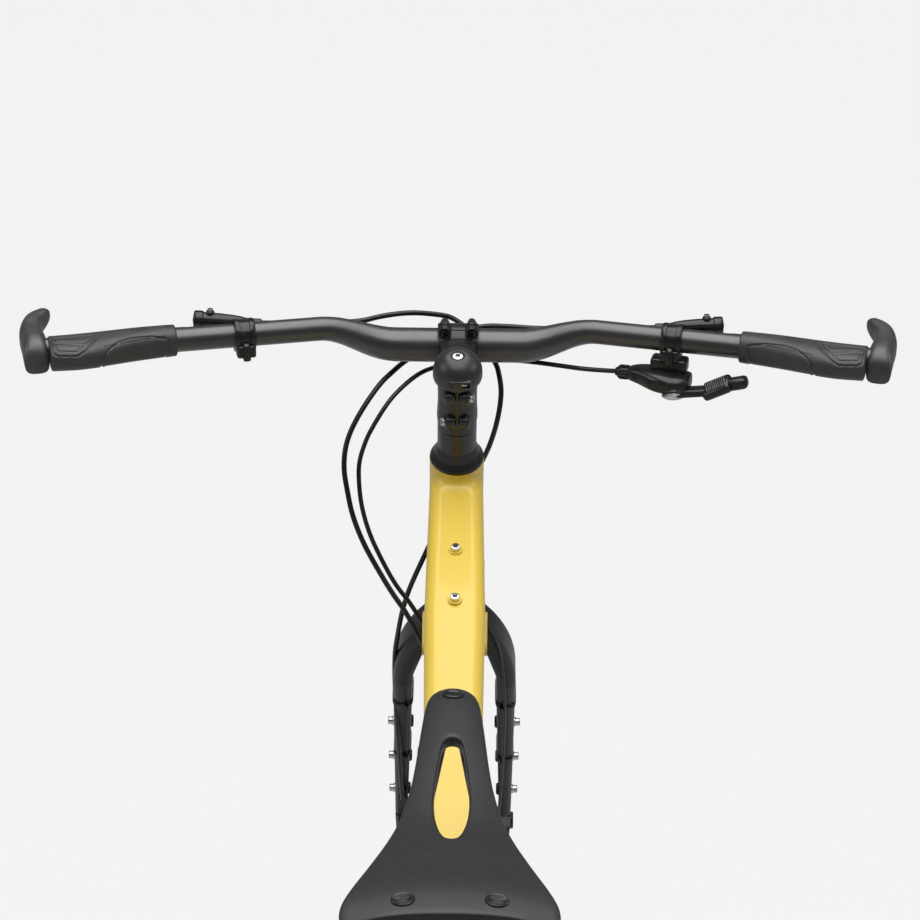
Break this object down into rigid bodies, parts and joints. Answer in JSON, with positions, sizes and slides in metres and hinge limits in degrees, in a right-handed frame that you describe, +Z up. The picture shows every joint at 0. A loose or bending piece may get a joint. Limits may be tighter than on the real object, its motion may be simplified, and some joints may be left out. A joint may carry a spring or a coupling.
{
  "type": "touring bicycle",
  "caption": "Touring bicycle with a swept flat handlebar, bar ends, rigid fork, disc brakes and a slotted saddle; the steering, wheels, cranks and pedals turn.",
  "frame": {"origin": "the rider's sit point, on top of the saddle's middle ahead of its rear edge", "axes": "+X to the rider's right, +Y forward, +Z up"},
  "size_m": [0.7948, 1.8473, 1.0399],
  "materials": {
    "frame_paint": "gloss",
    "black_metal": "satin",
    "black_plastic": "satin",
    "grip_rubber": "matte",
    "saddle_rubber": "matte",
    "tyre_rubber": "matte",
    "hose_plastic": "satin",
    "steel": "satin"
  },
  "bodies": {
    "frame": {"head_tube": "frame_paint", "top_tube": "frame_paint", "down_tube": "frame_paint", "seat_tube": "frame_paint", "bottom_bracket_shell": "frame_paint", "chain_stays": "frame_paint", "seat_stays": "frame_paint", "stay_bridge": "frame_paint", "dropouts": "frame_paint", "seat_clamp": "black_metal", "seatpost": "black_metal", "post_cap": "black_metal", "saddle_rails": "steel", "saddle_top": "saddle_rubber", "saddle_frame": "black_metal", "headset_lower_cup": "black_metal", "bottom_bracket_cups": "black_metal", "rear_axle": "steel", "rear_caliper": "black_metal", "rear_derailleur": "black_metal", "jockey_wheels": "black_plastic", "chain": "steel", "rear_lines": "hose_plastic"},
    "steering": {"fork_crown": "black_metal", "fork_blades": "black_metal", "headset_cone": "black_metal", "spacers": "black_metal", "stem": "black_metal", "stem_faceplate": "black_metal", "charger_cap": "black_plastic", "handlebar": "black_metal", "grip_left": "grip_rubber", "grip_right": "grip_rubber", "bar_ends": "grip_rubber", "brake_body_left": "black_metal", "brake_body_right": "black_metal", "brake_levers": "black_metal", "shifter": "black_plastic", "shift_paddles": "black_plastic", "front_axle": "steel", "front_caliper": "black_metal", "front_brake_hose": "hose_plastic", "dynamo_wire": "hose_plastic", "rear_brake_hose": "hose_plastic", "shift_housing": "hose_plastic"},
    "front_wheel": {"front_tyre": "tyre_rubber", "front_rim": "black_metal", "front_hub": "black_metal", "front_rotor": "steel"},
    "rear_wheel": {"rear_tyre": "tyre_rubber", "rear_rim": "black_metal", "rear_hub": "black_metal", "rear_rotor": "steel", "cassette": "steel"},
    "crankset": {"crank_right": "black_metal", "crank_left": "black_metal", "chainring": "black_metal"},
    "pedal_right": {"pedal_right": "black_metal"},
    "pedal_left": {"pedal_left": "black_metal"}
  },
  "joints": [
    {"name": "steering", "type": "hinge", "parent": "frame", "child": "steering", "pos_m": [0, 0.6663, -0.00865], "axis": [0, -0.342, 0.9397], "range_deg": [-65, 65], "deforming": ["rear_brake_hose", "shift_housing"]},
    {"name": "front_wheel_spin", "type": "hinge", "parent": "steering", "child": "front_wheel", "pos_m": [0, 0.91832, -0.56365], "axis": [-1, 0, 0], "continuous": true},
    {"name": "rear_wheel_spin", "type": "hinge", "parent": "frame", "child": "rear_wheel", "pos_m": [0, -0.20698, -0.56365], "axis": [-1, 0, 0], "continuous": true},
    {"name": "crank_spin", "type": "hinge", "parent": "frame", "child": "crankset", "pos_m": [0, 0.2383, -0.62865], "axis": [-1, 0, 0], "continuous": true},
    {"name": "right_pedal_spin", "type": "hinge", "parent": "crankset", "child": "pedal_right", "pos_m": [0.127, 0.4083, -0.62865], "axis": [-1, 0, 0], "continuous": true},
    {"name": "left_pedal_spin", "type": "hinge", "parent": "crankset", "child": "pedal_left", "pos_m": [-0.127, 0.0683, -0.62865], "axis": [-1, 0, 0], "continuous": true}
  ]
}
